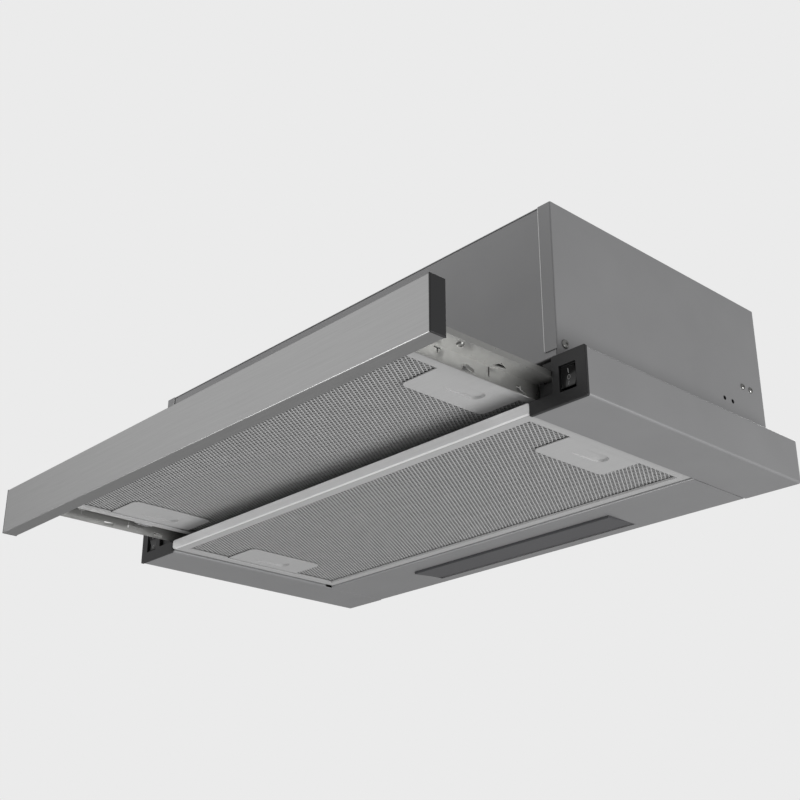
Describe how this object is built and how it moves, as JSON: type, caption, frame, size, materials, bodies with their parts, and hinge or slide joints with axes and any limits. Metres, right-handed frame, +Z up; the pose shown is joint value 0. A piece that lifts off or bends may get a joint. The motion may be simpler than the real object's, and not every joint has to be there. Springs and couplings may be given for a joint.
{
  "type": "telescopic under cabinet range hood",
  "caption": "Slim 60 cm cooker hood for a wall cabinet: pull-out drawer with grease filter, fixed filter, rocker switches, lamp, blower and round duct outlet with damper flaps.",
  "frame": {"origin": "centre of the round duct outlet, 2 mm above the flat roof of the housing", "axes": "+X to the cook's right along the width, drawer opens towards -Y, +Z up out of the duct outlet"},
  "size_m": [0.6, 0.4423, 0.2186],
  "materials": {
    "painted_steel": "satin grey enamel on folded steel",
    "brushed_steel": "brushed along the length",
    "galvanised_steel": "zinc-coated sheet",
    "black_plastic": "fine moulded grain",
    "rocker_plastic": "polished moulded",
    "filter_aluminium": "mill finish, slightly matt",
    "spring_steel": "bright",
    "screw_steel": "zinc plated",
    "motor_steel": "dull",
    "bronze_bush": "sintered",
    "lamp_white": "moulded",
    "lens_smoke": "smoked moulded cover",
    "board": "coated board"
  },
  "bodies": {
    "hood": {"housing_side_right": "painted_steel", "housing_side_left": "painted_steel", "housing_front_panel": "painted_steel", "housing_rear_panel": "painted_steel", "housing_roof": "painted_steel", "base_side_right": "painted_steel", "base_side_left": "painted_steel", "base_rear_panel": "painted_steel", "front_beam": "brushed_steel", "bezel_right": "black_plastic", "bezel_left": "black_plastic", "fan_switch_body": "black_plastic", "light_switch_body": "black_plastic", "drawer_guide_right": "galvanised_steel", "drawer_guide_left": "galvanised_steel", "guide_shoe_right": "black_plastic", "guide_shoe_left": "black_plastic", "blower_scroll_right": "black_plastic", "blower_scroll_left": "black_plastic", "motor_bracket": "galvanised_steel", "motor_body": "motor_steel", "motor_bearings": "bronze_bush", "motor_capacitor": "filter_aluminium", "terminal_box": "black_plastic", "terminal_box_lid": "black_plastic", "cable_gland": "black_plastic", "duct_collar": "black_plastic", "flap_hinge_pin": "spring_steel", "lamp_housing": "lamp_white", "lamp_led_board": "board", "lamp_lens": "lens_smoke", "housing_screws": "screw_steel", "bracket_screws": "screw_steel", "base_filter_catches": "spring_steel"},
    "drawer": {"drawer_rail_right": "galvanised_steel", "drawer_rail_left": "galvanised_steel", "drawer_top_cover": "galvanised_steel", "drawer_rear_bar": "galvanised_steel", "facia_panel": "brushed_steel", "facia_stiffener": "galvanised_steel", "facia_cap_right": "black_plastic", "facia_cap_left": "black_plastic", "drawer_screws": "screw_steel", "drawer_filter_catches": "spring_steel"},
    "fixed_filter": {"fixed_filter_frame": "filter_aluminium", "fixed_filter_mesh": "filter_aluminium", "fixed_filter_springs": "spring_steel"},
    "fixed_latch_right": {"fixed_filter_latch_right": "filter_aluminium"},
    "fixed_latch_left": {"fixed_filter_latch_left": "filter_aluminium"},
    "drawer_filter": {"drawer_filter_frame": "filter_aluminium", "drawer_filter_mesh": "filter_aluminium", "drawer_filter_springs": "spring_steel"},
    "drawer_latch_right": {"drawer_filter_latch_right": "filter_aluminium"},
    "drawer_latch_left": {"drawer_filter_latch_left": "filter_aluminium"},
    "fan_rocker": {"fan_rocker": "rocker_plastic"},
    "light_rocker": {"light_rocker": "rocker_plastic"},
    "blower_wheel": {"blower_wheel": "black_plastic", "motor_shaft": "spring_steel"},
    "damper_front": {"damper_flap_front": "black_plastic"},
    "damper_rear": {"damper_flap_rear": "black_plastic"}
  },
  "joints": [
    {"name": "drawer_slide", "type": "slide", "parent": "hood", "child": "drawer", "axis": [0, 1, 0], "range_m": [0, 0.1415]},
    {"name": "fixed_filter_release", "type": "slide", "parent": "hood", "child": "fixed_filter", "axis": [0, 0, 1], "range_m": [-0.02, 0], "deforming": ["base_filter_catches"]},
    {"name": "drawer_filter_tilt", "type": "hinge", "parent": "drawer", "child": "drawer_filter", "pos_m": [0, -0.0835, -0.1565], "axis": [-1, 0, 0], "range_deg": [-6, 0], "deforming": ["drawer_filter_catches"]},
    {"name": "fixed_latch_right_slide", "type": "slide", "parent": "fixed_filter", "child": "fixed_latch_right", "axis": [-1, 0, 0], "range_m": [0, 0.003], "stiffness_N_per_m": 1000, "springref_m": -0.003, "deforming": ["fixed_filter_springs"]},
    {"name": "fixed_latch_left_slide", "type": "slide", "parent": "fixed_filter", "child": "fixed_latch_left", "axis": [1, 0, 0], "range_m": [0, 0.003], "stiffness_N_per_m": 1000, "springref_m": -0.003, "deforming": ["fixed_filter_springs"]},
    {"name": "drawer_latch_right_slide", "type": "slide", "parent": "drawer_filter", "child": "drawer_latch_right", "axis": [-1, 0, 0], "range_m": [0, 0.003], "stiffness_N_per_m": 1000, "springref_m": -0.003, "deforming": ["drawer_filter_springs"]},
    {"name": "drawer_latch_left_slide", "type": "slide", "parent": "drawer_filter", "child": "drawer_latch_left", "axis": [1, 0, 0], "range_m": [0, 0.003], "stiffness_N_per_m": 1000, "springref_m": -0.003, "deforming": ["drawer_filter_springs"]},
    {"name": "fan_rocker_tilt", "type": "hinge", "parent": "hood", "child": "fan_rocker", "pos_m": [0.282, -0.1345, -0.15575], "axis": [1, 0, 0], "range_deg": [-8, 8]},
    {"name": "light_rocker_tilt", "type": "hinge", "parent": "hood", "child": "light_rocker", "pos_m": [-0.282, -0.1345, -0.15575], "axis": [1, 0, 0], "range_deg": [-16, 0]},
    {"name": "blower_spin", "type": "hinge", "parent": "hood", "child": "blower_wheel", "pos_m": [0, -0.0245, -0.066], "axis": [1, 0, 0], "continuous": true},
    {"name": "damper_front_swing", "type": "hinge", "parent": "hood", "child": "damper_front", "pos_m": [0, 0, 0.0104], "axis": [-1, 0, 0], "range_deg": [0, 75]},
    {"name": "damper_rear_swing", "type": "hinge", "parent": "hood", "child": "damper_rear", "pos_m": [0, 0, 0.0104], "axis": [1, 0, 0], "range_deg": [0, 75]}
  ]
}
